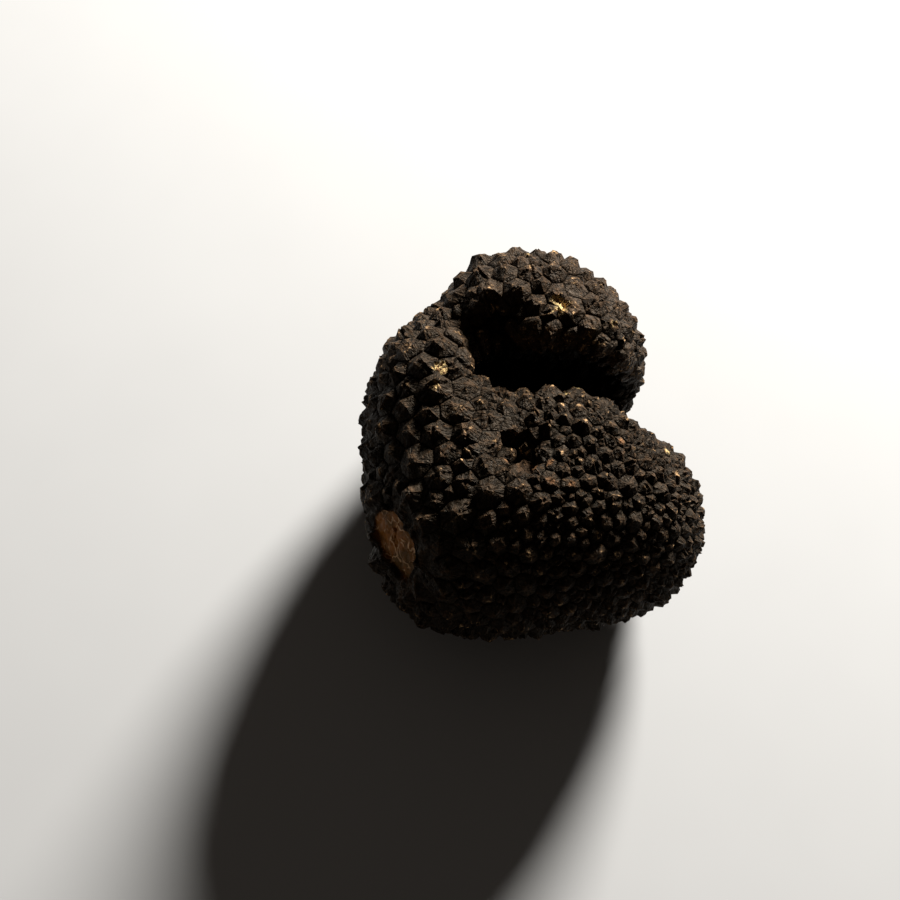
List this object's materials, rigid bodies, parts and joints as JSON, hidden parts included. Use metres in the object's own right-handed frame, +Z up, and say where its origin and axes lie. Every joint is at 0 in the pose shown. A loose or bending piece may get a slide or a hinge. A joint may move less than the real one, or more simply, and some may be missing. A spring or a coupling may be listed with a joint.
{
  "type": "black truffle",
  "caption": "Whole fresh black truffle: a warty fruit body of two lobes folded round a deep cleft, with a small nick that bares the veined flesh.",
  "frame": {"origin": "middle of the small flat spot that the truffle rests on", "axes": "+Z up out of the surface it rests on, +Y along its longest way, from the near lobe to the far lobe, +X to the right, the side on which the cleft opens"},
  "size_m": [0.0584, 0.07, 0.0405],
  "materials": {
    "truffle_skin": "matte, dry and warty"
  },
  "bodies": {
    "root": {"truffle": "truffle_skin"}
  },
  "joints": []
}
